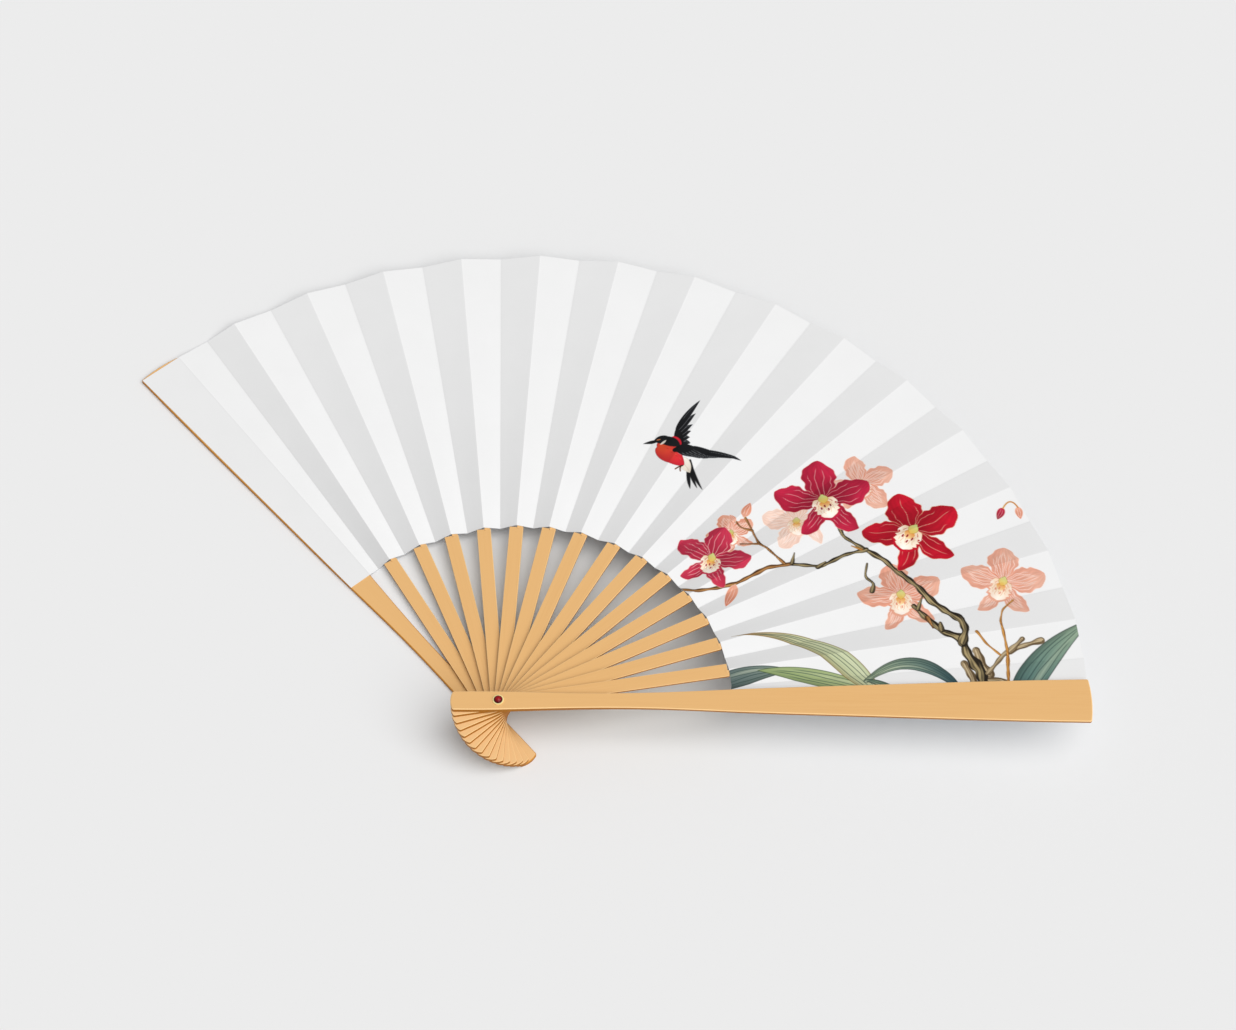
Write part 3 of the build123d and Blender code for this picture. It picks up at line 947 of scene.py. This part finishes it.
def fold_tone(slope, angle):
    """Wanted light over real light for panels of a slope, at an angle in degrees round the rivet."""
    facing = math.cos(math.radians(angle - 90) - LAMP_AZIMUTH)
    wanted = np.cos(slope) + WANTED_SIDE_LIGHT * np.sin(slope)
    return wanted / (np.cos(slope) + LAMP_SIDE_LIGHT * facing * np.sin(slope))


def panel(name, left, right, slope_sign, shade_factor=1.0):
    """One panel as an object, painted, with the thickness of paper under it.

    slope_sign is 1 where the left fold is the mountain, and -1 where the right one is. Where the panel
    carries paint its mesh is fine, and elsewhere coarse. Its tone carries painted light and shade for its
    slope and along its folds, and shade_factor scales it down further as painted shade.
    """
    span = painted_rows(left, right)
    coarse = np.linspace(0, 1, round((outer_radius - inner_radius) / COARSE_STEP))
    width = np.linalg.norm(right[1] - left[1])
    if span:
        steps = int((span[1] - span[0]) * (outer_radius - inner_radius) / FINE_STEP)
        fine = np.linspace(*span, steps)
        above, below = coarse[coarse < span[0] - ROW_GAP], coarse[coarse > span[1] + ROW_GAP]
        down = np.concatenate([above, fine, below])
        across = np.linspace(0, 1, int(width / FINE_STEP) + 2)
    else:
        down = coarse
        across = np.concatenate([NEAR_LEFT_FOLD, np.linspace(0.2, 0.8, COARSE_COLUMNS), NEAR_RIGHT_FOLD])
    points = panel_points(left, right, down, across)
    mesh = grid_mesh(name, points)
    spots = points[..., :2].reshape(-1, 2) / MM
    sheet = Sheet(spots, srgb(PAPER_WHITE))
    if span:
        picture(sheet)
    away = np.hypot(*spots.T) * MM
    middle = (left + right).mean(0) / 2
    angle = math.degrees(math.atan2(middle[1], middle[0]))
    fall = abs(left[0, 2] - right[0, 2])
    half_turn = np.linalg.norm((right[1] - left[1])[:2]) / outer_radius
    slope = slope_sign * np.arctan(fall / (away * half_turn))
    reach = np.linalg.norm(points[:, -1] - points[:, 0], axis=-1)[:, None]
    from_left, from_right = across * reach, (1 - across) * reach
    mountain_near, valley_near = (from_left, from_right) if slope_sign > 0 else (from_right, from_left)
    # Painted highlight near the mountain fold, painted shade near the valley fold.
    ridge_lit, valley_shaded = np.exp(-mountain_near / FOLD_PAINT_WIDTH), np.exp(-valley_near / FOLD_PAINT_WIDTH)
    fold_light = 1 + RIDGE_HIGHLIGHT * ridge_lit - VALLEY_SHADE * valley_shaded
    # The tone paints light and shade: the slope's light, the folds' highlight and shade, the ends' shade.
    tone = fold_tone(slope, angle) * fold_light.reshape(-1) * shade_factor
    colour = to_linear(sheet.colour) * tone[:, None]
    rgba = np.c_[colour, np.ones(len(colour))].astype(np.float32)
    attribute = mesh.color_attributes.new("print", "FLOAT_COLOR", "POINT")
    attribute.data.foreach_set("color", rgba.reshape(-1))
    made = bpy.data.objects.new(name, mesh)
    bpy.context.scene.collection.objects.link(made)
    mesh.materials.append(printed_paper)
    mesh.materials.append(plain_paper)
    sheet_thickness = made.modifiers.new("thickness", "SOLIDIFY")
    sheet_thickness.thickness = PAPER_THICKNESS
    sheet_thickness.offset = -1
    sheet_thickness.material_offset = 1
    sheet_thickness.material_offset_rim = 1
    return made


def bend_along_z(piece):
    """Bakes a panel's placement into its mesh; it does not bend the panel."""
    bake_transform(piece)


print("tone of a panel that slopes 45 degrees:", round(float(fold_tone(math.pi / 4, 90)), 3))

# %% [markdown]
# ### The panels between the ends
#
# Each fold is one line that two panels share, and they meet along it when the fan is open. Every rib
# carries one light panel, which rides on it, and one grey panel beside it. The first rib's grey panel
# comes in the next step, because its valley hardly moves.

# %% Build the panels between the ends
mountain_folds = [side_fold(rear_angle, -PAPER_SIDE_INNER, -PAPER_SIDE_OUTER, mountain[0])]
mountain_folds += [radial_fold(stick_angle[k], mountain[k]) for k in range(1, LAST)]
mountain_folds.append(
    radial_fold(STRIP_ANGLE, paper_under_guard, inner_radius - END_SHRINK, outer_radius - END_SHRINK)
)
valley_folds = [radial_fold(valley_angle[k], valley[k]) for k in range(LAST)]
panels = []

for k in range(1, LAST):
    light = panel(f"leaf_light_{k:02d}", mountain_folds[k], valley_folds[k], 1)
    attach(light, ribs[k - 1])
    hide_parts(f"leaf_pleat_{k:02d}")
    panels.append(light)

for k in range(2, LAST):
    grey = panel(f"leaf_grey_{k:02d}", valley_folds[k - 1], mountain_folds[k], -1)
    bend_along_z(grey)
    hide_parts(f"leaf_pleat_{k:02d}")
    panels.append(grey)
print("panels between the ends:", len(panels))

# %% [markdown]
# The ends of the leaf are special. The first panel is glued flat on the rear guard, and the next one
# hangs from its edge, so its first valley moves only a little. The last grey panel climbs to the
# front guard and ends in a strip glued underneath it. The glued panel and the first light panel are
# toned a little darker, as painted shade.

# %% The ends of the leaf
# Painted shade on the glued panel and the first light panel.
GLUED_SHADE = 0.965
FIRST_SHADE = 0.98

glued = panel(
    "leaf_glued_rear",
    side_fold(rear_angle, REAR_EDGE_INNER, REAR_EDGE_OUTER, mountain[0]),
    mountain_folds[0], 1, GLUED_SHADE,
)
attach(glued, "rear_guard")
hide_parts("leaf_rear_end")

first_light = panel("leaf_light_00", mountain_folds[0], valley_folds[0], 1, FIRST_SHADE)
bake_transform(first_light)
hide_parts("leaf_rear_end")

first_grey = panel("leaf_grey_01", valley_folds[0], mountain_folds[1], -1)
bend_along_z(first_grey)
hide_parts("leaf_pleat_01")

last_grey = panel("leaf_grey_15", valley_folds[RIB_COUNT], mountain_folds[LAST], -1)
bend_along_z(last_grey)
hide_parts("leaf_front_end")

strip_far = STRIP_WIDTH * (outer_radius - END_SHRINK) / (inner_radius - END_SHRINK)
strip = panel(
    "leaf_glued_front", mountain_folds[LAST], side_fold(0, -STRIP_WIDTH, -strip_far, paper_under_guard), 1
)
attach(strip, "front_guard")
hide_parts("leaf_front_end")
panels += [glued, first_light, first_grey, last_grey, strip]
print("panels:", len(panels), "faces:", sum(len(piece.data.polygons) for piece in panels))

# %% [markdown]
# ## The rivet
#
# The rivet's cap is stamped steel under dark red enamel, a glass-hard gloss. The ring under it is
# brass under a pale gold lacquer, so it scatters light more than bare metal does. The pin's flat head
# shows from below and is plain turned steel.

# %% Enamel, gilt and steel
CAP_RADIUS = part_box("rivet_cap")[1].x
ENAMEL_CLEAR = "#9A121B"
# Painted shade towards the rim of the cap.
ENAMEL_RIM_SHADE = "#330208"
GILT = "#FFEDA6"
STEEL = "#B9B7B2"


def enamel():
    """Dark red enamel with painted shade darker towards the rim, glossy, with faint waves in its surface."""
    material, tree, output = new_material("red enamel")
    place = add(tree, "TexCoord").outputs["Object"]
    waves = add(tree, "TexNoise", {"Vector": place, "Scale": 1 / (0.8 * MM), "Detail": 1.0})
    shine = add(tree, "MapRange", {"Value": waves.outputs["Fac"], "To Min": 0.1, "To Max": 0.2})
    flat = add(tree, "VectorMath", {0: place, 1: (1, 1, 0)}, operation="MULTIPLY")
    away = add(tree, "VectorMath", {0: flat.outputs[0]}, operation="LENGTH")
    # Painted shade: the enamel is painted darker towards the cap's rim.
    rim_shade = add(
        tree, "MapRange",
        {"Value": away.outputs["Value"], "From Min": 0.35 * CAP_RADIUS, "From Max": CAP_RADIUS},
    )
    deep = between(tree, rim_shade.outputs[0], paint(ENAMEL_CLEAR), paint(ENAMEL_RIM_SHADE))
    surface = add(
        tree, "BsdfPrincipled",
        {"Base Color": deep, "Roughness": shine.outputs[0], "Coat Weight": 0.12,
         "Coat Roughness": 0.04, "IOR": 1.5, "Specular IOR Level": 0.2},
    )
    tree.links.new(surface.outputs[0], output.inputs["Surface"])
    return material


def metal(name, colour, metallic, smooth, rough):
    """Turned metal with fine scratches: its roughness varies between two values."""
    material, tree, output = new_material(name)
    place = add(tree, "TexCoord").outputs["Object"]
    scratches = add(tree, "TexNoise", {"Vector": place, "Scale": 1 / (0.3 * MM), "Detail": 3.0})
    shine = add(
        tree, "MapRange", {"Value": scratches.outputs["Fac"], "To Min": smooth, "To Max": rough}
    )
    relief = add(tree, "Bump", {"Height": scratches.outputs["Fac"], "Strength": 0.2, "Distance": 0.01 * MM})
    surface = add(
        tree, "BsdfPrincipled",
        {"Base Color": paint(colour), "Metallic": metallic, "Roughness": shine.outputs[0],
         "Normal": relief.outputs[0]},
    )
    tree.links.new(surface.outputs[0], output.inputs["Surface"])
    return material


gilt = metal("pale gilt lacquer on brass", GILT, 0.12, 0.35, 0.5)
steel = metal("turned steel", STEEL, 1.0, 0.25, 0.45)
dress("rivet_cap", enamel())
dress("rivet_ring_front", gilt)
dress("rivet_ring_rear", gilt)
dress("rivet_pin", steel)
print("rivet cap radius in mm:", round(CAP_RADIUS / MM, 2))

# %% [markdown]
# ## Table
#
# The fan lies on a plain pale table, which isn't part of the fan.

# %% The table
FLOOR_HALF = 4.0
FLOOR_HEIGHT = -0.05 * MM
TABLE_WHITE = "#E7E7E7"

floor_points = np.array([[[-1, -1, 0], [1, -1, 0]], [[-1, 1, 0], [1, 1, 0]]], float) * FLOOR_HALF
floor_points[..., 2] = FLOOR_HEIGHT
floor = bpy.data.objects.new("floor", grid_mesh("floor", floor_points))
bpy.context.scene.collection.objects.link(floor)
floor_material, floor_tree, floor_output = new_material("matte table")
floor_place = add(floor_tree, "TexCoord").outputs["Object"]
grit = add(floor_tree, "TexNoise", {"Vector": floor_place, "Scale": 300.0})
matte = add(floor_tree, "MapRange", {"Value": grit.outputs["Fac"], "To Min": 0.85, "To Max": 0.95})
table = add(
    floor_tree, "BsdfPrincipled",
    {"Base Color": paint(TABLE_WHITE), "Roughness": matte.outputs[0], "Specular IOR Level": 0.0},
)
floor_tree.links.new(table.outputs[0], floor_output.inputs["Surface"])
floor.data.materials.append(floor_material)
print("table width in m:", 2 * FLOOR_HALF)

# %% [markdown]
# ## The last update

# %% Update the view layer
bpy.context.view_layer.update()
